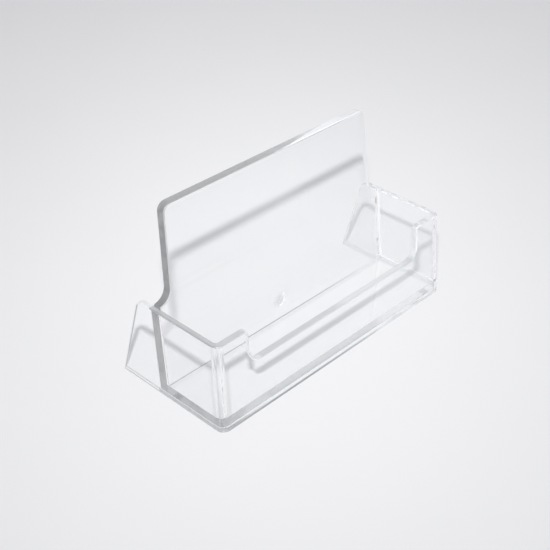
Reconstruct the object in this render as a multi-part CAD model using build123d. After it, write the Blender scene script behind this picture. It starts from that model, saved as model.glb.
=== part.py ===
"""Clear desk stand for business cards, made of five cemented panels.

Lengths are in millimetres and angles in degrees. The stand rests on z = 0 with its front
towards -Y, and the origin is under the middle of its footprint.
The walls lean a little, as on a moulded stand, so each wall is a slab between two sloped planes.
"""
from build123d import *
from math import cos, radians, sin, tan
import os

# Overall sizes
overall_width = 96.0
overall_height = 56.5
foot_depth = 41.7

# Tray walls
wall_height = 27.5
rim_depth = 34.0
side_thickness = 1.7
front_thickness = 2.1
outer_corner_radius = 2.5
inner_corner_radius = 0.8
rear_corner_radius = 3.0
side_draft = 1.2
front_lean = 4.8

# Thumb cut-out in the front wall
tab_width = 12.2
cutout_sill = 16.9
cutout_radius = 3.5
tab_radius = 1.2

# Tray floor
base_thickness = 2.3
base_lift = 0.8
pocket_depth = 20.9

# Display panel
panel_foot_thickness = 3.1
panel_top_thickness = 2.9
panel_lean = 5.7
display_inset = 7.7
display_draft = 2.8
display_corner_radius = 2.7
shoulder_step = 0.6
shoulder_rise = 1.2
shoulder_radius = 4.3

# Gate mark left by the mould on the back of the display panel
gate_mark_diameter = 6.0
gate_mark_depth = 0.3
gate_mark_height = 7.9

front_y = -foot_depth / 2
base_top = base_lift + base_thickness

# Length by which every cutting shape runs past what it cuts, longer than the stand itself
overrun = overall_width + foot_depth + overall_height


def side_x(z, inset=0.0):
    """Half the width between the side planes at height z, set in square to the plane."""
    return overall_width / 2 - z * tan(radians(side_draft)) - inset / cos(radians(side_draft))


def wall_y(z, inset=0.0):
    """Where the front wall's plane is at height z, set in square to the plane."""
    return front_y + z * tan(radians(front_lean)) + inset / cos(radians(front_lean))


def seen_from_front(outline):
    """A solid with this outline in X and Z, running right through the stand along Y."""
    return extrude(Plane.XZ * outline, amount=overrun, both=True)


def seen_from_side(outline):
    """A solid with this outline in Y and Z, running right through the stand along X."""
    return extrude(Plane.YZ * outline, amount=overrun, both=True)


def between_sides(low, high, inset):
    """The drafted outline, seen from the front, between the two side planes."""
    corners = [(-side_x(low, inset), low), (side_x(low, inset), low)]
    corners += [(side_x(high, inset), high), (-side_x(high, inset), high)]
    return Polygon(*corners, align=None)


def round_front_corners(solid, radius):
    """Rounds the two upright edges where the front plane meets the side planes."""
    front_face = solid.faces().sort_by(Axis.Y)[0]
    outer_edges = front_face.edges().filter_by(Axis.X, reverse=True).group_by(Axis.X)
    return fillet(outer_edges[0] + outer_edges[-1], radius)


def tray_outside():
    """The tray as a block: drafted sides, leaning front, sloped rear feet and the thumb cut-out."""
    foot_end = (front_y + foot_depth, 0)
    rim_end = (front_y + rim_depth, wall_height)
    side = Polygon((wall_y(0), 0), foot_end, rim_end, (wall_y(wall_height), wall_height), align=None)
    rim_corner = side.vertices().group_by(Axis.Y)[-1].sort_by(Axis.X)[-1]
    side = fillet(rim_corner, rear_corner_radius)
    notch_height = wall_height - cutout_sill
    notch_width = overall_width - 2 * tab_width
    notch = Pos(0, cutout_sill + notch_height / 2) * Rectangle(notch_width, notch_height)
    front = between_sides(0, wall_height, 0) - notch
    inner_corners = front.vertices().sort_by(lambda v: abs(v.X))[:4].group_by(Axis.Y)
    front = fillet(inner_corners[0], cutout_radius)
    tab_corners = front.vertices().group_by(Axis.Y)[-1].sort_by(lambda v: abs(v.X))[:2]
    front = fillet(tab_corners, tab_radius)
    return round_front_corners(seen_from_side(side) & seen_from_front(front), outer_corner_radius)


def tray_inside():
    """The space inside the walls, open at the bottom, the top and the rear."""
    low = -overrun
    high = wall_height + overrun
    rear = front_y + foot_depth + overrun
    side = Polygon(
        (wall_y(low, front_thickness), low),
        (rear, low),
        (rear, high),
        (wall_y(high, front_thickness), high),
        align=None,
    )
    front = between_sides(low, high, side_thickness)
    return round_front_corners(seen_from_side(side) & seen_from_front(front), inner_corner_radius)


def corner_mitre():
    """The plane that parts the front wall from the right side panel, through the sloped corner."""
    outer_foot = Vector(side_x(0), wall_y(0), 0)
    inner_foot = Vector(side_x(0, side_thickness), wall_y(0, front_thickness), 0)
    outer_top = Vector(side_x(wall_height), wall_y(wall_height), wall_height)
    return Plane(origin=outer_foot, z_dir=(inner_foot - outer_foot).cross(outer_top - outer_foot))


def panel_front_plane():
    """The front face of the display panel, with its origin at the crease with the tray floor."""
    crease_y = wall_y(base_top, front_thickness) + pocket_depth
    facing = (0, -cos(radians(panel_lean)), sin(radians(panel_lean)))
    return Plane(origin=(0, crease_y, base_top), x_dir=(1, 0, 0), z_dir=facing)


def up_the_panel(z):
    """Distance from the crease to height z, measured up the sloped face."""
    return (z - base_top) / cos(radians(panel_lean))


def make_base_plate():
    """The tray floor: it fills the tray between the walls and butts against the display panel."""
    slab = seen_from_front(between_sides(base_lift, base_top, 0))
    return split(slab & tray_inside(), bisect_by=panel_front_plane(), keep=Keep.TOP)


def panel_outline():
    """The display panel seen square to its face: swept shoulders and rounded top corners."""
    step_height = wall_height + shoulder_step
    neck_height = step_height + shoulder_rise
    step = up_the_panel(step_height)
    neck = up_the_panel(neck_height)
    top = up_the_panel(overall_height)
    half_top = overall_width / 2 - display_inset
    half_neck = half_top + (overall_height - neck_height) * tan(radians(display_draft))
    half_step = side_x(step_height, side_thickness)
    half_outer = overall_width / 2
    run_out = (half_outer - half_step) * (neck - step) / (half_step - half_neck)
    right = [(half_outer, -overrun), (half_outer, step - run_out), (half_neck, neck), (half_top, top)]
    left = [(-x, y) for x, y in reversed(right)]
    outline = Polygon(*right, *left, align=None)
    outline = fillet(outline.vertices().group_by(Axis.Y)[-1], display_corner_radius)
    neck_corners = outline.vertices().filter_by(lambda v: abs(v.Y - neck) < shoulder_rise / 2)
    return fillet(neck_corners, shoulder_radius)


def make_back_panel():
    """The display panel: thicker at its foot, seated between the sides and behind the tray floor."""
    front_face = panel_front_plane()
    rear_foot = front_face.from_local_coords((0, 0, -panel_foot_thickness))
    rear_top = front_face.from_local_coords((0, up_the_panel(overall_height), -panel_top_thickness))
    across = Vector(1, 0, 0)
    rear_face = Plane(origin=rear_foot, x_dir=across, z_dir=across.cross(rear_top - rear_foot))
    blank = extrude(front_face * panel_outline(), amount=-2 * panel_foot_thickness)
    panel = split(blank, bisect_by=rear_face, keep=Keep.TOP)
    panel = panel & seen_from_front(between_sides(base_lift, overall_height + overrun, side_thickness))
    mark_place = rear_face * Pos(0, up_the_panel(gate_mark_height))
    return panel - mark_place * Cylinder(gate_mark_diameter / 2, 2 * gate_mark_depth)


walls = tray_outside() - tray_inside()
right_mitre = corner_mitre()
left_mitre = Plane(
    origin=(-right_mitre.origin.X, right_mitre.origin.Y, right_mitre.origin.Z),
    z_dir=(-right_mitre.z_dir.X, right_mitre.z_dir.Y, right_mitre.z_dir.Z),
)
right_side_panel = split(walls, bisect_by=right_mitre, keep=Keep.TOP)
front_and_left = split(walls, bisect_by=right_mitre, keep=Keep.BOTTOM)
front_wall = split(front_and_left, bisect_by=left_mitre, keep=Keep.BOTTOM)

nodes = {
    "base_plate": make_base_plate(),
    "back_panel": make_back_panel(),
    "front_wall": front_wall,
    "left_side_panel": mirror(right_side_panel, about=Plane.YZ),
    "right_side_panel": right_side_panel,
}

os.makedirs("parts", exist_ok=True)
for name, solid in nodes.items():
    export_step(solid, f"parts/{name}.step")
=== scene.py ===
"""Clear desk stand for business cards, dressed for a soft studio picture.

Lengths are in metres in the stand's own frame: it stands on z = 0 with its front towards -Y.
The stand is clear plastic, so its five panels are closed shells that bend the light, and the
faces where two panels are cemented together let it pass straight on. Much of the light that
the plastic bends and traps is painted: edges, rims, feet and some cemented faces carry painted
shade and painted highlights in grey tones set along x, mostly darker on the left.
"""
from math import cos, pi, radians, sin, tan

import bmesh
import bpy
from mathutils import Matrix, Vector


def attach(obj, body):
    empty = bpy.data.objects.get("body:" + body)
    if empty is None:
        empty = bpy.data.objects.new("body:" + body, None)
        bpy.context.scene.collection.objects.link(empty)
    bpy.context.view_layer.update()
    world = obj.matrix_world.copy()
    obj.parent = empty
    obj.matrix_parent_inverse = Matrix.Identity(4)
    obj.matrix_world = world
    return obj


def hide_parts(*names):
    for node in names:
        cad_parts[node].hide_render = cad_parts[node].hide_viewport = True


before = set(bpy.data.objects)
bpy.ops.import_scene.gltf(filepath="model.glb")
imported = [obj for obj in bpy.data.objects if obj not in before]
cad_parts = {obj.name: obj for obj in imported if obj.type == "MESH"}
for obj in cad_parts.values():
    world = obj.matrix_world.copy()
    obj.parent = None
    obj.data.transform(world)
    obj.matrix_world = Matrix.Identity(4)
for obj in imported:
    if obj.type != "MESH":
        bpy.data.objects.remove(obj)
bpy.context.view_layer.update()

# Tray floor
# The floor that the cards stand on, a flat plate of clear plastic just clear of the table.
# All four of its edges are cemented: to the front wall, both sides and the back panel.
mm = 0.001
half_width = 48.0 * mm
front_y = -20.85 * mm
side_draft = radians(1.2)
front_lean = radians(4.8)
side_thickness = 1.7 * mm
front_thickness = 2.1 * mm
inner_corner_radius = 0.8 * mm
floor_bottom = 0.8 * mm
floor_top = 3.1 * mm
pocket_depth = 20.9 * mm
panel_lean = radians(5.7)
crease_radius = 0.13 * mm
crease_strip = 0.2 * mm
floor_fillet = 0.5 * mm
arc_steps = 8
edge_steps = 3
crisp_angle = radians(40)
upwards = Vector((0, 0, 1))

# How much of a face's normal points a given way when it mostly or squarely looks that way
mostly = 0.9
squarely = 0.999

plastic_ior = 1.53
clear_tint = (0.988, 0.992, 0.995, 1.0)
cool_grey = (0.96, 0.98, 1.0)
whole_lamp_share = 1.0
# Painted shade along the crease with the back panel, darker to the left
crease_shade_tones = ((-46 * mm, 0.30), (0, 0.37), (20 * mm, 0.45), (46 * mm, 0.90))
crease_shares = ((0, 0.9),)
# Painted shade on the floor's cemented ends, seen from outside, darker to the left
side_cement_shade_tones = ((-46 * mm, 0.31), (46 * mm, 0.75))
front_cement_shade_tones = (
    (-48 * mm, 0.36), (-42 * mm, 0.42), (-36 * mm, 0.50), (14 * mm, 0.56), (22 * mm, 0.71),
)
# Painted highlight on the floor's fillet and on the back panel's right-hand fillet
fillet_highlight_tones = ((-46 * mm, 0.90), (38 * mm, 0.90), (44 * mm, 0.76))
fillet_shares = ((0, 0.95),)

# Places in a piece's list of finishes, the first three alike for every piece
FACE, EDGE, SEAM = range(3)
FRONT_SEAM, FILLET = range(3, 5)


def side_x(z, inset=0.0):
    """Half the width between the drafted sides at height z, set in square to the side."""
    return half_width - z * tan(side_draft) - inset / cos(side_draft)


def wall_y(z, inset=0.0):
    """Where the leaning front wall is at height z, set in square to the wall."""
    return front_y + z * tan(front_lean) + inset / cos(front_lean)


crease_y = wall_y(floor_top, front_thickness) + pocket_depth


def panel_y(z):
    """Where the front face of the back panel is at height z."""
    return crease_y + (z - floor_top) * tan(panel_lean)


def rounded(corners):
    """The points of an outline whose corners are given as (across, up, radius)."""
    points = []
    for index, (across, up, radius) in enumerate(corners):
        here = Vector((across, up))
        if radius == 0:
            points.append(here)
            continue
        before = (Vector(corners[index - 1][:2]) - here).normalized()
        after = (Vector(corners[(index + 1) % len(corners)][:2]) - here).normalized()
        half_angle = before.angle(after) / 2
        centre = here + (before + after).normalized() * radius / sin(half_angle)
        spoke = here + before * radius / tan(half_angle) - centre
        sweep = -spoke.angle_signed(here + after * radius / tan(half_angle) - centre)
        for step in range(arc_steps + 1):
            points.append(centre + Matrix.Rotation(sweep * step / arc_steps, 2) @ spoke)
    return points


def new_finish(name):
    """A new material, with its nodes and links."""
    material = bpy.data.materials.new(name)
    material.use_nodes = True
    return material, material.node_tree.nodes, material.node_tree.links


def noise_over(nodes, links, scale, detail):
    """A noise that is fixed to the stand."""
    place = nodes.new("ShaderNodeTexCoord")
    noise = nodes.new("ShaderNodeTexNoise")
    noise.inputs["Scale"].default_value = scale
    noise.inputs["Detail"].default_value = detail
    links.new(place.outputs["Object"], noise.inputs["Vector"])
    return noise.outputs["Fac"]


def make_clear(nodes, links, surface):
    """Sets a shader to polished clear plastic, with a faint haze from handling and moulding waves."""
    haze_scale = 90.0
    haze_detail = 6.0
    clean_below = 0.45
    hazy_above = 0.8
    most_haze = 0.06
    wave_scale = 60.0
    wave_detail = 1.0
    wave_height = 0.1 * mm
    wave_strength = 0.1
    surface.inputs["Base Color"].default_value = clear_tint
    surface.inputs["Transmission Weight"].default_value = 1.0
    surface.inputs["IOR"].default_value = plastic_ior

    haze = nodes.new("ShaderNodeMapRange")
    haze.inputs["From Min"].default_value = clean_below
    haze.inputs["From Max"].default_value = hazy_above
    haze.inputs["To Max"].default_value = most_haze
    links.new(noise_over(nodes, links, haze_scale, haze_detail), haze.inputs["Value"])
    links.new(haze.outputs["Result"], surface.inputs["Roughness"])

    waves = nodes.new("ShaderNodeBump")
    waves.inputs["Strength"].default_value = wave_strength
    waves.inputs["Distance"].default_value = wave_height
    links.new(noise_over(nodes, links, wave_scale, wave_detail), waves.inputs["Height"])
    links.new(waves.outputs["Normal"], surface.inputs["Normal"])


def let_light_pass(nodes, links, shown):
    """Ends a finish so that trapped light, light off the table and lamp light pass straight on.

    Gives the node that sets the share of the lamp light.
    """
    most_inner_bounces = 1.5
    ray = nodes.new("ShaderNodeLightPath")
    trapped = nodes.new("ShaderNodeMath")
    trapped.operation = "GREATER_THAN"
    trapped.inputs[1].default_value = most_inner_bounces
    links.new(ray.outputs["Glossy Depth"], trapped.inputs[0])
    for kind in (trapped.outputs["Value"], ray.outputs["Is Diffuse Ray"], ray.outputs["Is Shadow Ray"]):
        passed = nodes.new("ShaderNodeBsdfTransparent")
        choice = nodes.new("ShaderNodeMixShader")
        links.new(kind, choice.inputs["Fac"])
        links.new(shown, choice.inputs[1])
        links.new(passed.outputs["BSDF"], choice.inputs[2])
        shown = choice.outputs["Shader"]
    links.new(shown, nodes["Material Output"].inputs["Surface"])
    return passed


def clear_plastic(name, lamp_share):
    """A polished face of the clear plastic, which passes on a share of the lamp's light."""
    material, nodes, links = new_finish(name)
    surface = nodes["Principled BSDF"]
    make_clear(nodes, links, surface)
    lamp_light = let_light_pass(nodes, links, surface.outputs["BSDF"])
    lamp_light.inputs["Color"].default_value = (lamp_share, lamp_share, lamp_share, 1.0)
    return material


def tone_across(nodes, links, tones):
    """A streaky cool grey that runs across the stand, from tones given with their places in x.

    As a colour it paints shade and highlights onto edges and joints; as a lamp share it sets how
    much of the lamp's light passes.
    """
    streak_scale = 400.0
    streak_detail = 2.0
    streak_reach = 0.08
    place = nodes.new("ShaderNodeTexCoord")
    parts = nodes.new("ShaderNodeSeparateXYZ")
    across = nodes.new("ShaderNodeMapRange")
    across.inputs["From Min"].default_value = -half_width
    across.inputs["From Max"].default_value = half_width
    across.inputs["To Min"].default_value = -streak_reach / 2
    across.inputs["To Max"].default_value = 1 - streak_reach / 2
    streaky = nodes.new("ShaderNodeMath")
    streaky.operation = "MULTIPLY_ADD"
    streaky.inputs[1].default_value = streak_reach
    ramp = nodes.new("ShaderNodeValToRGB")
    stops = ramp.color_ramp.elements
    stops.remove(stops[1])
    for index, (x, tone) in enumerate(tones):
        position = (x + half_width) / (2 * half_width)
        stop = stops.new(position) if index else stops[0]
        stop.position = position
        stop.color = (*(share * tone for share in cool_grey), 1.0)
    links.new(place.outputs["Object"], parts.inputs["Vector"])
    links.new(parts.outputs["X"], across.inputs["Value"])
    links.new(noise_over(nodes, links, streak_scale, streak_detail), streaky.inputs[0])
    links.new(across.outputs["Result"], streaky.inputs[2])
    links.new(streaky.outputs["Value"], ramp.inputs["Fac"])
    return ramp.outputs["Color"]


def ground_edge(name, tones, lamp_shares, inner_ior=plastic_ior):
    """An edge of the plastic, faintly frosted and polished from outside and clear from inside.

    Its grey is painted shade and painted highlight, set along x, standing in for the light that the
    plastic bends and traps at its edges.
    """
    edge_transmission = 0.25
    edge_roughness = 0.35
    polish = 0.5
    polish_roughness = 0.06
    material, nodes, links = new_finish(name)
    frosted_with_painted_shade = nodes["Principled BSDF"]
    # The edge's colour is painted shade and highlight
    links.new(tone_across(nodes, links, tones), frosted_with_painted_shade.inputs["Base Color"])
    frosted_with_painted_shade.inputs["Transmission Weight"].default_value = edge_transmission
    frosted_with_painted_shade.inputs["Roughness"].default_value = edge_roughness
    frosted_with_painted_shade.inputs["IOR"].default_value = plastic_ior
    frosted_with_painted_shade.inputs["Coat Weight"].default_value = polish
    frosted_with_painted_shade.inputs["Coat Roughness"].default_value = polish_roughness
    inside = nodes.new("ShaderNodeBsdfPrincipled")
    make_clear(nodes, links, inside)
    inside.inputs["IOR"].default_value = inner_ior
    seen_face = nodes.new("ShaderNodeNewGeometry")
    choice = nodes.new("ShaderNodeMixShader")
    links.new(seen_face.outputs["Backfacing"], choice.inputs["Fac"])
    links.new(frosted_with_painted_shade.outputs["BSDF"], choice.inputs[1])
    links.new(inside.outputs["BSDF"], choice.inputs[2])
    lamp_light = let_light_pass(nodes, links, choice.outputs["Shader"])
    links.new(tone_across(nodes, links, lamp_shares), lamp_light.inputs["Color"])
    return material


def show_painted_tone(nodes, links, *clear_where):
    """Sets a shader to a matt face of painted shade and highlight, which only straight rays see
    and only where it isn't clear.
    """
    matt_roughness = 0.8
    surface = nodes["Principled BSDF"]
    surface.inputs["Roughness"].default_value = matt_roughness
    surface.inputs["Specular IOR Level"].default_value = 0.0
    ray = nodes.new("ShaderNodeLightPath")
    clear = ray.outputs["Glossy Depth"]
    for kind in (ray.outputs["Is Diffuse Ray"], ray.outputs["Is Shadow Ray"], *clear_where):
        either = nodes.new("ShaderNodeMath")
        either.operation = "ADD"
        links.new(clear, either.inputs[0])
        links.new(kind, either.inputs[1])
        clear = either.outputs["Value"]
    passed = nodes.new("ShaderNodeBsdfTransparent")
    choice = nodes.new("ShaderNodeMixShader")
    links.new(clear, choice.inputs["Fac"])
    links.new(surface.outputs["BSDF"], choice.inputs[1])
    links.new(passed.outputs["BSDF"], choice.inputs[2])
    links.new(choice.outputs["Shader"], nodes["Material Output"].inputs["Surface"])
    return surface


def shaded_cement(name, tones):
    """A cemented joint that shows painted shade from outside, as a grey matt face, and is clear
    from inside.
    """
    painted_alpha = 0.75
    material, nodes, links = new_finish(name)
    seen_face = nodes.new("ShaderNodeNewGeometry")
    surface = show_painted_tone(nodes, links, seen_face.outputs["Backfacing"])
    links.new(tone_across(nodes, links, tones), surface.inputs["Base Color"])
    surface.inputs["Alpha"].default_value = painted_alpha
    return material


polished_face = clear_plastic("polished_face", whole_lamp_share)
crease_edge = ground_edge("crease_edge", crease_shade_tones, crease_shares)
fillet_highlight = ground_edge("fillet_highlight", fillet_highlight_tones, fillet_shares)
side_cement_shade = shaded_cement("side_cement_shade", side_cement_shade_tones)
front_cement_shade = shaded_cement("front_cement_shade", front_cement_shade_tones)
clear_cement = new_finish("clear_cement")[0]
clear_cement.node_tree.nodes["Principled BSDF"].inputs["Alpha"].default_value = 0.0


def make_piece(shell, name, finishes):
    """Turns a shell into a piece, crisp where it is cemented and smooth over its rounded edges."""
    for face in shell.faces:
        face.smooth = True
    for edge in shell.edges:
        cemented = any(face.material_index == SEAM for face in edge.link_faces)
        edge.smooth = not cemented and edge.calc_face_angle(0.0) < crisp_angle
    mesh = bpy.data.meshes.new(name)
    shell.to_mesh(mesh)
    shell.free()
    for finish in finishes:
        mesh.materials.append(finish)
    piece = bpy.data.objects.new(name, mesh)
    bpy.context.scene.collection.objects.link(piece)
    piece.modifiers.new("flat_faces_stay_flat", "WEIGHTED_NORMAL").keep_sharp = True
    return piece


def tray_ring(z, inset=0.0):
    """The outline of the tray's inside at height z, set in from the walls and open at the panel."""
    across = side_x(z, side_thickness + inset)
    front = wall_y(z, front_thickness + inset)
    radius = inner_corner_radius - inset
    outline = rounded([
        (-across, panel_y(z), 0),
        (-across, front, radius),
        (across, front, radius),
        (across, panel_y(z), 0),
    ])
    return [(x, y, z) for x, y in outline]


def round_over(shell, edges, radius, finish, steps=edge_steps):
    """Rounds edges over to a radius, and gives the new faces a finish."""
    round_profile = 0.5
    made = bmesh.ops.bevel(
        shell, geom=edges, offset=radius, offset_type="OFFSET",
        segments=steps, profile=round_profile, affect="EDGES",
    )
    for face in made["faces"]:
        face.material_index = finish


def cut(shell, faces, point, normal):
    """Cuts the given faces where a plane crosses them, without changing their shape."""
    same_place = 0.005 * mm
    geometry = set(faces)
    for face in faces:
        geometry.update(face.edges)
        geometry.update(face.verts)
    bmesh.ops.bisect_plane(shell, geom=list(geometry), dist=same_place, plane_co=point, plane_no=normal)


floor_shell = bmesh.new()
outlines = [tray_ring(floor_bottom)]
for step in range(arc_steps + 1):
    turn = pi / 2 * step / arc_steps
    fillet_rise = floor_fillet * (1 - sin(turn))
    fillet_inset = floor_fillet * (1 - cos(turn))
    outlines.append(tray_ring(floor_top + fillet_rise, fillet_inset))
rings = [[floor_shell.verts.new(point) for point in points] for points in outlines]
floor_shell.faces.new(rings[0])
floor_shell.faces.new(rings[-1])
left_ends = [ring[0] for ring in rings]
right_ends = [ring[-1] for ring in rings]
cemented_faces = [floor_shell.faces.new(left_ends + right_ends[::-1])]
for lower, upper in zip(rings, rings[1:]):
    for index in range(1, len(lower)):
        face = floor_shell.faces.new((lower[index - 1], lower[index], upper[index], upper[index - 1]))
        if lower is rings[0]:
            cemented_faces.append(face)
        else:
            face.material_index = FILLET
bmesh.ops.recalc_face_normals(floor_shell, faces=floor_shell.faces)
# The floor's cemented ends carry painted shade from outside
for face in cemented_faces:
    face.material_index = SEAM if abs(face.normal.x) > mostly else FRONT_SEAM
# The crease is rounded over and painted with shade, with a strip of the floor beside it
crease = floor_shell.edges.get((left_ends[-1], right_ends[-1]))
round_over(floor_shell, [crease], crease_radius, EDGE)
strip_y = crease_y - crease_radius - crease_strip
floor_faces = [face for face in floor_shell.faces if face.normal.z > squarely]
cut(floor_shell, floor_faces, (0, strip_y, 0), (0, 1, 0))
for face in floor_shell.faces:
    if face.normal.z > squarely and face.calc_center_median().y > strip_y:
        face.material_index = EDGE
floor_finishes = (polished_face, crease_edge, side_cement_shade, front_cement_shade, fillet_highlight)
tray_floor = make_piece(floor_shell, "tray_floor", floor_finishes)
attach(tray_floor, "root")
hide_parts("base_plate")

# Back panel
# The leaning panel that shows the cards, of clear plastic, a little thicker at its foot than at
# its top. Its lower edges are cemented between the sides, and the tray floor butts against it.
panel_height = 56.5 * mm
wall_height = 27.5 * mm
foot_thickness = 3.1 * mm
top_thickness = 2.9 * mm
half_top = 40.3 * mm
display_draft = radians(2.8)
top_corner_radius = 2.7 * mm
shoulder_step = 0.6 * mm
shoulder_rise = 1.2 * mm
shoulder_radius = 4.3 * mm
edge_radius = 0.3 * mm
lip_start = 6 * mm
lip_end = 27 * mm
lip_line = 0.35 * mm
lip_slant = 0.2
far_edge_slant = 0.3
fillet_radius = 0.7 * mm
fillet_below_rim = 0.5 * mm
fillet_bottom = floor_top + floor_fillet
fillet_top = wall_height - fillet_below_rim
gate_mark_radius = 3.0 * mm
gate_mark_depth = 0.2 * mm
gate_mark_flat = 0.55
gate_mark_height = 7.9 * mm
gate_mark_steps = 32
glint_start = 4
glint_end = 17

panel_lamp_share = 0.965
straight_on = 1.0
# Painted shade and highlight on the panel's edges: dark along the left, lighter towards the right
panel_edge_shade_highlight_tones = (
    (-41.5 * mm, 0.22), (-38 * mm, 0.33), (-10 * mm, 0.36), (8 * mm, 0.46),
    (12 * mm, 0.55), (16 * mm, 0.74), (22 * mm, 0.78), (28 * mm, 0.93), (39 * mm, 0.80),
)
panel_edge_shares = (
    (-41.5 * mm, 0.55), (-40.2 * mm, 0.42), (-39.2 * mm, 0.06), (-38 * mm, 0.0), (-25 * mm, 0.0),
    (-11 * mm, 0.12), (3 * mm, 0.20), (14 * mm, 0.06), (20 * mm, 0.0),
)
# The panel's right-hand edge is painted a lighter grey
far_edge_highlight_tones = ((0, 0.80),)
far_edge_shares = ((0, 0.9),)
# Painted shade on the left of the top edge and its front bevels, painted highlight right of the middle
lip_shade_highlight_tones = (
    (-42 * mm, 0.55), (-38 * mm, 0.35), (2 * mm, 0.42),
    (9 * mm, 0.98), (28 * mm, 0.98), (33 * mm, 0.87),
)
# A thin painted line of shade along the front, just below the top edge
lip_line_shade_tones = ((-40 * mm, 0.80), (0, 0.74), (14 * mm, 0.55), (28 * mm, 0.56), (33 * mm, 0.80))
lip_line_shares = ((0, 0.5),)
# Painted shade on the panel's cemented edges, seen through the sides, darker to the left
panel_cement_shade_tones = ((-46 * mm, 0.23), (46 * mm, 0.75))
# Painted shade in the gate mark, and a painted highlight on the right and lower part of its slope
gate_shade_colour = (0.48, 0.49, 0.50, 1.0)
gate_shade_alpha = (0.42, 0.0)
gate_glint_colour = (0.92, 0.93, 0.94, 1.0)
gate_glint_alpha = (1.0, 0.05)
gate_mark_fade = 0.8
panel_face = clear_plastic("panel_face", panel_lamp_share)
panel_edge_shade_highlight = ground_edge("panel_edge_shade_highlight", panel_edge_shade_highlight_tones, panel_edge_shares)
panel_lip_shade_highlight = ground_edge("panel_lip_shade_highlight", lip_shade_highlight_tones, panel_edge_shares)
panel_lip_shade_line = ground_edge("panel_lip_shade_line", lip_line_shade_tones, lip_line_shares)
panel_far_edge_highlight = ground_edge("panel_far_edge_highlight", far_edge_highlight_tones, far_edge_shares, straight_on)
panel_cement_shade = shaded_cement("panel_cement_shade", panel_cement_shade_tones)
FOOT_SEAM, FILLET, MARK, GLINT, LIP, LIP_LINE, FAR_EDGE = range(3, 10)


def up_the_panel(z):
    """Distance from the crease with the tray floor to height z, up the sloped face."""
    return (z - floor_top) / cos(panel_lean)


panel_reach = up_the_panel(panel_height)
square_to_panel = Vector((0, cos(panel_lean), -sin(panel_lean)))


def on_panel(across, up, depth=0.0):
    """A point of the panel: across from the middle, up its front face and into its thickness."""
    on_face = Vector((across, crease_y + up * sin(panel_lean), floor_top + up * cos(panel_lean)))
    return on_face + square_to_panel * depth


rear_foot = on_panel(0, 0, foot_thickness)
up_the_rear = (on_panel(0, panel_reach, top_thickness) - rear_foot).normalized()
square_to_rear = up_the_rear.cross(Vector((1, 0, 0)))


def panel_thickness(up):
    """The panel thins evenly from the crease to its top."""
    return foot_thickness + (top_thickness - foot_thickness) * up / panel_reach


def bridge(shell, near, far):
    """Closes a shell between two rings of points in the same order: two flat faces and a rim."""
    near_ring = [shell.verts.new(point) for point in near]
    far_ring = [shell.verts.new(point) for point in far]
    shell.faces.new(near_ring)
    shell.faces.new(reversed(far_ring))
    for index in range(len(near)):
        shell.faces.new((near_ring[index - 1], far_ring[index - 1], far_ring[index], near_ring[index]))
    bmesh.ops.recalc_face_normals(shell, faces=shell.faces)


def trim(shell, point, normal):
    """Cuts off what lies beyond a plane and closes the cut with a flat face."""
    geometry = shell.verts[:] + shell.edges[:] + shell.faces[:]
    result = bmesh.ops.bisect_plane(
        shell, geom=geometry, plane_co=point, plane_no=normal, clear_outer=True,
    )
    rim = [item for item in result["geom_cut"] if isinstance(item, bmesh.types.BMEdge)]
    return bmesh.ops.contextual_create(shell, geom=rim)["faces"]


def put_in_order(shell):
    """Orders the faces of a shell by their points, so that every run gives the same mesh."""
    shell.verts.index_update()
    in_order = sorted(shell.faces, key=lambda face: sorted(vert.index for vert in face.verts))
    for index, face in enumerate(in_order):
        face.index = index
    shell.faces.sort()


step_height = wall_height + shoulder_step
neck_height = step_height + shoulder_rise
half_step = side_x(step_height, side_thickness)
half_neck = half_top + (panel_height - neck_height) * tan(display_draft)
right_side = [
    (side_x(0, side_thickness), up_the_panel(0), 0),
    (half_step, up_the_panel(step_height), 0),
    (half_neck, up_the_panel(neck_height), shoulder_radius),
    (half_top, panel_reach, top_corner_radius),
]
left_side = [(-across, up, radius) for across, up, radius in reversed(right_side)]
outline = rounded(right_side + left_side)
panel_shell = bmesh.new()
bridge(
    panel_shell,
    [on_panel(across, up) for across, up in outline],
    [on_panel(across, up, panel_thickness(up)) for across, up in outline],
)
trim(panel_shell, (0, 0, floor_bottom), -upwards)
cut(panel_shell, panel_shell.faces[:], (0, 0, wall_height), upwards)
# Cemented edges carry painted shade, free edges painted shade and highlight
for face in panel_shell.faces:
    flat = abs(face.normal.dot(square_to_panel)) > squarely or face.normal.z < -mostly
    below_rim = face.calc_center_median().z < wall_height
    cemented = below_rim and abs(face.normal.x) > mostly
    face.material_index = FACE if flat else SEAM if cemented else EDGE
free_edges = [
    edge for edge in panel_shell.edges
    if edge.calc_face_angle() > crisp_angle
    and min(vert.co.z for vert in edge.verts) > wall_height - edge_radius
]
round_over(panel_shell, free_edges, edge_radius, EDGE)

lip_line_start = on_panel(0, panel_reach - edge_radius - lip_line)
display_front = [
    face for face in panel_shell.faces
    if face.normal.dot(square_to_panel) < -squarely and face.calc_center_median().z > wall_height
]
cut(panel_shell, display_front, lip_line_start, upwards)
lip_corner = on_panel(lip_start, panel_reach)
across_lip = (on_panel(lip_end, panel_reach, top_thickness) - lip_corner).cross(upwards)
top_faces = [face for face in panel_shell.faces if face.normal.z > mostly]
cut(panel_shell, top_faces, lip_corner, across_lip)
# Own painted shade and highlight for the right edge, the lit top and bevels, the strip under the top
for face in panel_shell.faces:
    middle = face.calc_center_median()
    towards_cards = -face.normal.dot(square_to_panel)
    lit = face.normal.z > mostly and (middle - lip_corner).dot(across_lip) > 0
    if face.material_index == EDGE and face.normal.x > far_edge_slant:
        face.material_index = FAR_EDGE
    elif face.material_index == EDGE and (lit or towards_cards > lip_slant):
        face.material_index = LIP
    elif towards_cards > squarely and middle.z > lip_line_start.z:
        face.material_index = LIP_LINE


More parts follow.
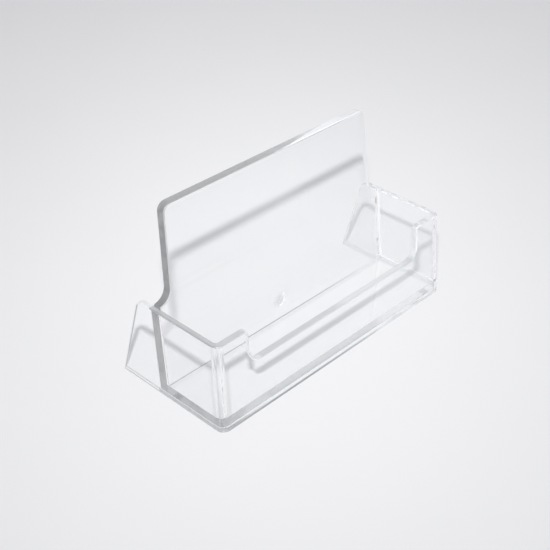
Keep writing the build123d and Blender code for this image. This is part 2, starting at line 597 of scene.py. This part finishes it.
def front_faces():
    """The flat front of the panel below the rims of the tray."""
    return [
        face for face in panel_shell.faces
        if face.normal.dot(square_to_panel) < -squarely and face.calc_center_median().z < wall_height
    ]


crease_bottom = floor_top - crease_radius
for z in (crease_bottom, fillet_bottom, fillet_top):
    cut(panel_shell, front_faces(), (0, 0, z), upwards)
for side in (-1, 1):
    beside = Vector((side * (side_x(floor_top, side_thickness) - fillet_radius), 0, floor_top))
    cut(panel_shell, front_faces(), beside, (side * cos(side_draft), 0, sin(side_draft)))
for face in front_faces():
    if face.calc_center_median().z < crease_bottom:
        face.material_index = FOOT_SEAM


def corner_fillet(shell, side):
    """Fills the corner between the panel and one side with a hollow fillet, as the mould leaves it."""
    half_way = floor_top + wall_height / 2
    strip = [
        face for face in front_faces()
        if side * face.calc_center_median().x > side_x(wall_height, side_thickness) - fillet_radius
        and fillet_bottom < face.calc_center_median().z < fillet_top
    ]
    outwards = sorted(strip[0].verts, key=lambda vert: side * vert.co.x)
    bottom = [vert for vert in outwards if vert.co.z <= half_way]
    top = [vert for vert in outwards if vert.co.z > half_way]
    rings = []
    for on_face, corner in (bottom, top):
        centre = corner.co - Vector((side * fillet_radius, fillet_radius, 0))
        ring = [on_face]
        for step in range(1, arc_steps + 1):
            turn = pi / 2 * step / arc_steps
            spoke = Vector((side * sin(turn), cos(turn), 0))
            ring.append(shell.verts.new(centre + spoke * fillet_radius))
        rings.append(ring)
        shell.faces.new([corner, *ring])
    low, high = rings
    for index in range(arc_steps):
        hollow = shell.faces.new((low[index], low[index + 1], high[index + 1], high[index]))
        # Only the right-hand fillet carries the painted highlight
        hollow.material_index = FILLET if side > 0 else FACE
    cemented = shell.faces.new((bottom[1], low[-1], high[-1], top[1]))
    cemented.material_index = FOOT_SEAM
    bmesh.ops.delete(shell, geom=strip, context="FACES_ONLY")


for side in (-1, 1):
    corner_fillet(panel_shell, side)


def sink_mark(shell, centre):
    """Sinks the round mark that the mould's gate leaves into the back of the panel."""
    beside_middle = 0.3 * mm

    def rear_halves():
        """The flat rear of the panel below the rims, in one piece or two."""
        return [
            face for face in shell.faces
            if face.normal.dot(square_to_rear) > squarely and face.calc_center_median().z < wall_height
        ]

    bmesh.ops.recalc_face_normals(shell, faces=shell.faces)
    cut(shell, rear_halves(), centre, (1, 0, 0))
    rim = []
    for step in range(gate_mark_steps):
        turn = 2 * pi * step / gate_mark_steps
        spoke = Vector((1, 0, 0)) * sin(turn) + up_the_rear * cos(turn)
        rim.append(shell.verts.new(centre + spoke * gate_mark_radius))
    half = gate_mark_steps // 2
    arcs = {1: rim[:half + 1], -1: [rim[0], *reversed(rim[half:])]}
    for face in rear_halves():
        loop = face.verts[:]
        on_middle = [abs(vert.co.x) < beside_middle for vert in loop]
        start = next(index for index in range(len(loop)) if on_middle[index] and on_middle[index - 1])
        loop = loop[start:] + loop[:start]
        arc = arcs[1 if face.calc_center_median().x > 0 else -1]
        shell.faces.new(loop + (arc if loop[-1].co.z > loop[0].co.z else arc[::-1]))
        middle_line = shell.edges.get((loop[0], loop[-1]))
    bmesh.ops.delete(shell, geom=[middle_line], context="EDGES")
    bottom = centre - square_to_rear * gate_mark_depth
    floor_ring = [shell.verts.new(bottom + (vert.co - centre) * gate_mark_flat) for vert in rim]
    # The mark's floor and most of its slope carry painted shade, one stretch of the slope a painted
    # highlight
    shell.faces.new(floor_ring).material_index = MARK
    for index in range(gate_mark_steps):
        slope = shell.faces.new((rim[index - 1], rim[index], floor_ring[index], floor_ring[index - 1]))
        slope.material_index = GLINT if glint_start < index <= glint_end else MARK


def gate_mark_paint(name, colour, painted_alpha, centre):
    """A painted spot on the gate mark, seen from both sides, that fades from its middle to its rim.

    It is painted shade on the mark and a painted highlight on the glint.
    """
    at_middle, at_rim = painted_alpha
    material, nodes, links = new_finish(name)
    place = nodes.new("ShaderNodeTexCoord")
    about_centre = nodes.new("ShaderNodeMapping")
    about_centre.inputs["Location"].default_value = -centre / gate_mark_radius
    about_centre.inputs["Scale"].default_value = (1 / gate_mark_radius,) * 3
    nearness = nodes.new("ShaderNodeTexGradient")
    nearness.gradient_type = "SPHERICAL"
    fading = nodes.new("ShaderNodeMapRange")
    fading.inputs["From Max"].default_value = gate_mark_fade
    fading.inputs["To Min"].default_value = at_rim
    fading.inputs["To Max"].default_value = at_middle
    links.new(place.outputs["Object"], about_centre.inputs["Vector"])
    links.new(about_centre.outputs["Vector"], nearness.inputs["Vector"])
    links.new(nearness.outputs["Fac"], fading.inputs["Value"])
    surface = show_painted_tone(nodes, links)
    surface.inputs["Base Color"].default_value = colour
    links.new(fading.outputs["Result"], surface.inputs["Alpha"])
    return material


gate_centre = rear_foot + up_the_rear * up_the_panel(gate_mark_height)
gate_mark_shade = gate_mark_paint("gate_mark_shade", gate_shade_colour, gate_shade_alpha, gate_centre)
gate_glint = gate_mark_paint("gate_glint", gate_glint_colour, gate_glint_alpha, gate_centre)
sink_mark(panel_shell, gate_centre)
bmesh.ops.recalc_face_normals(panel_shell, faces=panel_shell.faces)
put_in_order(panel_shell)
panel_finishes = (
    panel_face, panel_edge_shade_highlight, panel_cement_shade, clear_cement, fillet_highlight,
    gate_mark_shade, gate_glint, panel_lip_shade_highlight, panel_lip_shade_line, panel_far_edge_highlight,
)
back_panel = make_piece(panel_shell, "leaning_back_panel", panel_finishes)
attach(back_panel, "root")
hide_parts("back_panel")

# Front wall
# The low leaning wall that keeps the cards in, of the same clear plastic, with a wide cut-out for
# the thumb. Its two ends are mitred to the sides, and the corners are rounded over together.
foot_depth = 41.7 * mm
rim_depth = 34.0 * mm
rear_corner_radius = 3.0 * mm
outer_corner_radius = 2.5 * mm
cutout_half_width = 35.8 * mm
cutout_sill = 16.9 * mm
cutout_radius = 3.5 * mm
tab_radius = 1.2 * mm
wall_edge_radius = 0.35 * mm
foot_height = 0.8 * mm
tray_foot_height = 1.5 * mm

# How far a wall's broad faces tilt at most, their least area, and how far any upright face tilts
broad_slant = 0.2
broad_area = (6 * mm) ** 2
upright_slant = 0.5

corner_lamp_share = 0.7
# Painted shade and highlight on the walls' rims and rounded edges: darker to the left, lighter at the
# tab and in streaks on the right
front_rim_shade_highlight_tones = (
    (-46 * mm, 0.60), (-37.5 * mm, 0.62), (-36 * mm, 0.86), (-34.5 * mm, 0.86), (-32 * mm, 0.62),
    (-5 * mm, 0.64), (5 * mm, 0.80), (30 * mm, 0.80), (34 * mm, 0.68), (37 * mm, 0.68),
    (39 * mm, 0.95), (41 * mm, 0.68), (43 * mm, 0.95), (46 * mm, 0.70),
)
front_round_shade_highlight_tones = (
    (-47.5 * mm, 0.40), (-45.5 * mm, 0.58), (-37.5 * mm, 0.60), (-36 * mm, 0.86),
    (-34.5 * mm, 0.86), (-32 * mm, 0.58), (0, 0.66), (20 * mm, 0.75), (34 * mm, 0.60),
    (38 * mm, 0.95), (41 * mm, 0.65), (44 * mm, 0.95), (46 * mm, 0.70),
)
rim_shares = ((-47 * mm, 0.10), (-34 * mm, 0.22), (0, 0.27), (20 * mm, 0.38), (46 * mm, 0.46))
# Painted shade in a grey band round the foot of the walls and a line along its lower edge
foot_shade_tones = (
    (-48 * mm, 0.72), (-47 * mm, 0.45), (-45 * mm, 0.36), (-24 * mm, 0.28), (-3 * mm, 0.34),
    (12 * mm, 0.45), (18 * mm, 0.70), (24 * mm, 0.72), (29 * mm, 0.62), (34 * mm, 0.80),
    (40 * mm, 0.60), (46 * mm, 0.75),
)
tray_foot_shade_tones = (
    (-48 * mm, 0.45), (-46.5 * mm, 0.38), (-44 * mm, 0.36), (-40 * mm, 0.50), (-30 * mm, 0.78),
    (20 * mm, 0.80), (26 * mm, 0.62), (30 * mm, 0.85), (35 * mm, 0.55), (40 * mm, 0.80),
    (46 * mm, 0.55),
)
foot_shares = ((0, 0.9),)
corner_bend = clear_plastic("corner_bend", corner_lamp_share)
front_rim_shade_highlight = ground_edge("front_rim_shade_highlight", front_rim_shade_highlight_tones, rim_shares)
front_round_shade_highlight = ground_edge("front_round_shade_highlight", front_round_shade_highlight_tones, rim_shares)
foot_shade = ground_edge("foot_shade", foot_shade_tones, foot_shares, straight_on)
tray_foot_shade = ground_edge("tray_foot_shade", tray_foot_shade_tones, foot_shares, straight_on)
CORNER, ROUND, FOOT, TRAY_FOOT = range(3, 7)

cutout_outline = rounded([
    (-side_x(wall_height), wall_height, 0),
    (-cutout_half_width, wall_height, tab_radius),
    (-cutout_half_width, cutout_sill, cutout_radius),
    (cutout_half_width, cutout_sill, cutout_radius),
    (cutout_half_width, wall_height, tab_radius),
    (side_x(wall_height), wall_height, 0),
])[1:-1]
rear_outline = rounded([
    (front_y, 0, 0),
    (front_y + foot_depth, 0, 0),
    (front_y + rim_depth, wall_height, rear_corner_radius),
    (front_y, wall_height, 0),
])[1:-1]


def looks_out(face):
    """Whether a face of a wall looks away from the middle of the tray."""
    return face.normal.dot(face.calc_center_median()) > 0


def looks_down(face):
    """Whether a face of a wall belongs to its underside."""
    return face.normal.z < -upright_slant


def wall_skin(strip, side_inset, front_inset):
    """The corner, rear and cut-out points of the walls' outer or inner skin."""
    corners = {}
    ends = {}
    for side in (-1, 1):
        for z in (0, wall_height):
            point = (side * side_x(z, side_inset), wall_y(z, front_inset), z)
            corners[side, z] = strip.verts.new(point)
        ends[side] = [strip.verts.new((side * side_x(z, side_inset), y, z)) for y, z in rear_outline]
    notch = [strip.verts.new((x, wall_y(z, front_inset), z)) for x, z in cutout_outline]
    return corners, ends, notch


def mark_wall_feet(strip):
    """Marks the painted shade round the foot of the walls: a grey band, and a line along its lower edge.
    """
    def outside():
        """The walls' outer faces, with those that are marked already."""
        return [
            face for face in strip.faces
            if face.material_index in (FACE, CORNER, TRAY_FOOT)
            and looks_out(face)
            and not looks_down(face)
        ]

    for height, finish in ((tray_foot_height, TRAY_FOOT), (foot_height, FOOT)):
        cut(strip, outside(), (0, 0, height), upwards)
        for face in outside():
            if face.calc_center_median().z < height:
                face.material_index = finish


def wall_strip():
    """The front wall and both sides as one strip round the tray, rounded at all edges but its foot."""
    strip = bmesh.new()
    skins = [wall_skin(strip, 0, 0), wall_skin(strip, side_thickness, front_thickness)]
    upright_edges = []
    for corners, ends, notch in skins:
        foot = (corners[1, 0], corners[-1, 0])
        strip.faces.new([corners[1, wall_height], *foot, corners[-1, wall_height], *notch])
        for side in (-1, 1):
            strip.faces.new([corners[side, wall_height], corners[side, 0], *ends[side]])
        upright_edges.append([
            strip.edges.get((corners[side, 0], corners[side, wall_height])) for side in (-1, 1)
        ])
    (outer, outer_ends, outer_notch), (inner, inner_ends, inner_notch) = skins
    rims = [(outer_notch, inner_notch)]
    rims += [(outer_ends[side], inner_ends[side]) for side in (-1, 1)]
    for near, far in rims:
        for index in range(1, len(near)):
            strip.faces.new([near[index - 1], near[index], far[index], far[index - 1]])
    strip.faces.new([
        outer[-1, 0], outer[1, 0], outer_ends[1][0], inner_ends[1][0],
        inner[1, 0], inner[-1, 0], inner_ends[-1][0], outer_ends[-1][0],
    ])
    for side, tip in ((-1, 0), (1, -1)):
        strip.faces.new([
            outer[side, wall_height], outer_ends[side][-1], inner_ends[side][-1],
            inner[side, wall_height], inner_notch[tip], outer_notch[tip],
        ])
    bmesh.ops.recalc_face_normals(strip, faces=strip.faces)
    for edges, radius in zip(upright_edges, (outer_corner_radius, inner_corner_radius)):
        round_over(strip, edges, radius, CORNER, arc_steps)
    for face in strip.faces:
        broad = abs(face.normal.z) < broad_slant and face.calc_area() > broad_area
        if face.material_index != CORNER:
            face.material_index = FACE if broad else FOOT if looks_down(face) else EDGE
    sharp_edges = [
        edge for edge in strip.edges
        if edge.calc_face_angle() > crisp_angle and max(vert.co.z for vert in edge.verts) > foot_height
    ]
    round_over(strip, sharp_edges, wall_edge_radius, ROUND)
    mark_wall_feet(strip)
    return strip


outer_foot = Vector((side_x(0), wall_y(0), 0))
inner_foot = Vector((side_x(0, side_thickness), wall_y(0, front_thickness), 0))
outer_top = Vector((side_x(wall_height), wall_y(wall_height), wall_height))
towards_front = (outer_top - outer_foot).cross(inner_foot - outer_foot).normalized()


def mitre(shell, side, keep_side):
    """Cuts a shell along the mitre on one side, keeping the side panel or the front wall."""
    point = (side * outer_foot.x, outer_foot.y, outer_foot.z)
    normal = Vector((side * towards_front.x, towards_front.y, towards_front.z))
    for face in trim(shell, point, normal if keep_side else -normal):
        face.material_index = SEAM


def facing(shell, direction):
    """The flat faces of a shell that look squarely in one direction."""
    return [face for face in shell.faces if face.normal.dot(direction) > squarely]


def inner_corners(shell):
    """The rounded upright corners of a shell that look into the tray."""
    return [
        face for face in shell.faces
        if face.material_index in (CORNER, SEAM)
        and abs(face.normal.z) < upright_slant
        and not looks_out(face)
    ]


def cement_floor(shell, looks_in):
    """Marks where the tray floor is cemented to the faces that look into the tray."""
    joint_top = floor_top + floor_fillet
    for z in (floor_bottom, joint_top):
        cut(shell, looks_in(), (0, 0, z), upwards)
    for face in looks_in():
        middle = face.calc_center_median()
        if floor_bottom < middle.z < joint_top and middle.y < panel_y(middle.z):
            face.material_index = SEAM


wall_shell = wall_strip()
for side in (-1, 1):
    mitre(wall_shell, side, keep_side=False)
square_to_wall = Vector((0, cos(front_lean), -sin(front_lean)))
cement_floor(wall_shell, lambda: facing(wall_shell, square_to_wall))
cement_floor(wall_shell, lambda: inner_corners(wall_shell))
put_in_order(wall_shell)
wall_finishes = (
    polished_face, front_rim_shade_highlight, clear_cement, corner_bend, front_round_shade_highlight, foot_shade, tray_foot_shade,
)
front_wall = make_piece(wall_shell, "front_wall_with_cutout", wall_finishes)
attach(front_wall, "root")
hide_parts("front_wall")

# Side panels
# Two sloped plates of clear plastic, mirror images, that close the tray's ends and run on behind
# the back panel as feet. The tray floor, the back panel and the front wall are cemented to them.
# Sizes of the lines of painted shade along each foot's rear edge and along its foot
wing_shade_line = 0.85 * mm
wing_foot_line = 0.4 * mm
wing_foot_top = tray_foot_height - wing_foot_line
# Painted shade and highlight on the sides' rims and rounded edges: darker on the left, streaks of
# highlight on the right
side_rim_shade_highlight_tones = (
    (-47 * mm, 0.56), (0, 0.60), (43.5 * mm, 0.65), (44.5 * mm, 0.98),
    (45.5 * mm, 0.70), (46.5 * mm, 0.98), (47.5 * mm, 0.70),
)
side_round_shade_highlight_tones = (
    (-47 * mm, 0.42), (0, 0.50), (44 * mm, 0.65), (45 * mm, 0.95),
    (46 * mm, 0.65), (47 * mm, 0.95), (48 * mm, 0.70),
)
# Painted shade on the edges of the feet behind the panel and along their foot
wing_shade_tones = ((-48 * mm, 0.85), (40 * mm, 0.66))
wing_foot_shade_tones = ((0, 0.50),)
side_rim_shade_highlight = ground_edge("side_rim_shade_highlight", side_rim_shade_highlight_tones, rim_shares)
side_round_shade_highlight = ground_edge("side_round_shade_highlight", side_round_shade_highlight_tones, rim_shares)
wing_edge_shade = ground_edge("wing_edge_shade", wing_shade_tones, rim_shares, straight_on)
wing_foot_shade = ground_edge("wing_foot_shade", wing_foot_shade_tones, rim_shares, straight_on)
WING, WING_FOOT = range(7, 9)
side_finishes = (
    panel_face, side_rim_shade_highlight, clear_cement, corner_bend, side_round_shade_highlight, foot_shade, tray_foot_shade,
    wing_edge_shade, wing_foot_shade,
)
crease_point = on_panel(0, 0)
fillet_edge = crease_point - Vector((0, fillet_radius, 0))
square_to_wing = Vector((0, wall_height, foot_depth - rim_depth)).normalized()
wing_shade_line_start = Vector((0, front_y + foot_depth, 0)) - square_to_wing * wing_shade_line


def beyond(place, point, direction):
    """Whether a place lies beyond the plane through a point that is square to a direction."""
    return (place - point).dot(direction) > 0


def cement_panel(shell, inwards):
    """Marks where the back panel and its corner fillet are cemented to the inside of a side."""
    for point, normal in (
        ((0, 0, floor_bottom), upwards),
        (crease_point, square_to_panel),
        (rear_foot, square_to_rear),
        ((0, 0, fillet_bottom), upwards),
        ((0, 0, fillet_top), upwards),
        (fillet_edge, square_to_panel),
    ):
        cut(shell, facing(shell, inwards), point, normal)
    for face in facing(shell, inwards):
        middle = face.calc_center_median()
        behind_front = beyond(middle, crease_point, square_to_panel)
        in_panel = behind_front and not beyond(middle, rear_foot, square_to_rear)
        beside_fillet = beyond(middle, fillet_edge, square_to_panel) and not behind_front
        in_fillet = beside_fillet and fillet_bottom < middle.z < fillet_top
        if middle.z > floor_bottom and (in_panel or in_fillet):
            face.material_index = SEAM


def mark_wing(shell, outwards):
    """Gives the part of a side that runs on behind the back panel its own edges and lines of
    painted shade.
    """
    rims = [face for face in shell.faces if face.material_index in (EDGE, ROUND)]
    cut(shell, rims, rear_foot, square_to_rear)
    for point, normal in (
        (rear_foot, square_to_rear),
        (wing_shade_line_start, square_to_wing),
        ((0, 0, wing_foot_line), upwards),
        ((0, 0, wing_foot_top), upwards),
    ):
        cut(shell, facing(shell, outwards), point, normal)
    for face in shell.faces:
        middle = face.calc_center_median()
        behind = beyond(middle, rear_foot, square_to_rear)
        in_wing_shade_line = beyond(middle, wing_shade_line_start, square_to_wing) and looks_out(face)
        if behind and face.material_index in (EDGE, ROUND):
            face.material_index = WING
        elif in_wing_shade_line and face.material_index == FACE:
            face.material_index = ROUND
        elif behind and face.material_index in (FOOT, TRAY_FOOT):
            face.material_index = FACE if wing_foot_line < middle.z < wing_foot_top else WING_FOOT
        elif not behind and face.material_index == FOOT:
            face.material_index = TRAY_FOOT


for side, name, node in (
    (-1, "left_sloped_side", "left_side_panel"),
    (1, "right_sloped_side", "right_side_panel"),
):
    side_shell = wall_strip()
    mitre(side_shell, side, keep_side=True)
    inwards = Vector((-side * cos(side_draft), 0, -sin(side_draft)))
    cement_panel(side_shell, inwards)
    cement_floor(side_shell, lambda: facing(side_shell, inwards))
    cement_floor(side_shell, lambda: inner_corners(side_shell))
    mark_wing(side_shell, -inwards)
    put_in_order(side_shell)
    side_panel = make_piece(side_shell, name, side_finishes)
    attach(side_panel, "root")
    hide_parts(node)

# Table
# The plain pale table top that the stand is pictured on, painted matt, with a faint mottle.
# The stand rests on it, and a hair of room keeps their faces apart.
table_size = 6.0
table_gap = 0.02 * mm
mottle_scale = 120.0
mottle_detail = 4.0
mottle_colours = ((0.85, 0.85, 0.865, 1.0), (0.87, 0.87, 0.885, 1.0))
table_roughness = 0.9
table_gloss = 0.1
table_paint, table_nodes, table_links = new_finish("pale_table")
table_surface = table_nodes["Principled BSDF"]
table_surface.inputs["Roughness"].default_value = table_roughness
table_surface.inputs["Specular IOR Level"].default_value = table_gloss
mottle = table_nodes.new("ShaderNodeTexNoise")
mottle.inputs["Scale"].default_value = mottle_scale
mottle.inputs["Detail"].default_value = mottle_detail
mottle_ramp = table_nodes.new("ShaderNodeValToRGB")
for stop, colour in zip(mottle_ramp.color_ramp.elements, mottle_colours):
    stop.color = colour
table_links.new(mottle.outputs["Fac"], mottle_ramp.inputs["Fac"])
table_links.new(mottle_ramp.outputs["Color"], table_surface.inputs["Base Color"])
table_shell = bmesh.new()
bmesh.ops.create_grid(table_shell, x_segments=1, y_segments=1, size=table_size / 2)
table_mesh = bpy.data.meshes.new("table_top")
table_shell.to_mesh(table_mesh)
table_shell.free()
table_mesh.materials.append(table_paint)
table = bpy.data.objects.new("table_top", table_mesh)
table.location = (0, 0, -table_gap)
bpy.context.scene.collection.objects.link(table)

# Light
# One small soft lamp above and just left of the camera, which throws the stand's shadows behind
# it, and a pale surround that is bright low down and dim overhead.
aim = Vector((-6.544 * mm, -0.058 * mm, 22.123 * mm))
lamp_azimuth = -47.4
lamp_elevation = 44.7
lamp_distance = 0.342
lamp_aim = Vector((56 * mm, 52 * mm, 0))
lamp_size = 0.015
lamp_spread = radians(95)
lamp_power = 2.165
surround_colour = (0.98, 0.985, 1.0, 1.0)
low_glow = 0.95
high_glow = 0.12
glow_fades_from = 0.55
glow_fades_to = 0.8


def seen_from(azimuth, elevation, distance):
    """A place at a distance from the aim, in degrees, with azimuth 0 in front of the stand."""
    around = radians(azimuth)
    above = radians(elevation)
    direction = Vector((sin(around) * cos(above), -cos(around) * cos(above), sin(above)))
    return aim + direction * distance


lamp_data = bpy.data.lights.new("soft_lamp", "AREA")
lamp_data.shape = "DISK"
lamp_data.size = lamp_size
lamp_data.spread = lamp_spread
lamp_data.energy = lamp_power
lamp_data.use_nodes = True
lamp_nodes = lamp_data.node_tree.nodes
falloff = lamp_nodes.new("ShaderNodeLightFalloff")
falloff.inputs["Strength"].default_value = 1.0
lamp_strength = lamp_nodes["Emission"].inputs["Strength"]
lamp_data.node_tree.links.new(falloff.outputs["Constant"], lamp_strength)
lamp = bpy.data.objects.new("soft_lamp", lamp_data)
lamp.location = seen_from(lamp_azimuth, lamp_elevation, lamp_distance)
lamp.rotation_euler = (lamp_aim - lamp.location).to_track_quat("-Z", "Y").to_euler()
bpy.context.scene.collection.objects.link(lamp)

surround = bpy.data.worlds.new("pale_surround")
surround.use_nodes = True
surround_nodes = surround.node_tree.nodes
surround_links = surround.node_tree.links
sky = surround_nodes["Background"]
sky.inputs["Color"].default_value = surround_colour
outward = surround_nodes.new("ShaderNodeTexCoord")
rise = surround_nodes.new("ShaderNodeSeparateXYZ")
glow = surround_nodes.new("ShaderNodeMapRange")
glow.inputs["From Min"].default_value = glow_fades_from
glow.inputs["From Max"].default_value = glow_fades_to
glow.inputs["To Min"].default_value = low_glow
glow.inputs["To Max"].default_value = high_glow
surround_links.new(outward.outputs["Generated"], rise.inputs["Vector"])
surround_links.new(rise.outputs["Z"], glow.inputs["Value"])
surround_links.new(glow.outputs["Result"], sky.inputs["Strength"])
bpy.context.scene.world = surround
bpy.context.scene.view_settings.view_transform = "Standard"

# Camera
# A short telephoto lens in front of the stand and to its left, about 30 cm away, looking down on
# it so that the whole stand and its shadows are in the picture.
camera_azimuth = -45.989
camera_elevation = 34.014
camera_distance = 0.319902
film_width = 36.0
focal_length = 71.956
nearest_sight = 0.01
camera_data = bpy.data.cameras.new("camera")
camera_data.sensor_width = film_width
camera_data.lens = focal_length
camera_data.clip_start = nearest_sight
camera = bpy.data.objects.new("camera", camera_data)
camera.location = seen_from(camera_azimuth, camera_elevation, camera_distance)
camera.rotation_euler = (aim - camera.location).to_track_quat("-Z", "Y").to_euler()
bpy.context.scene.collection.objects.link(camera)
bpy.context.scene.camera = camera
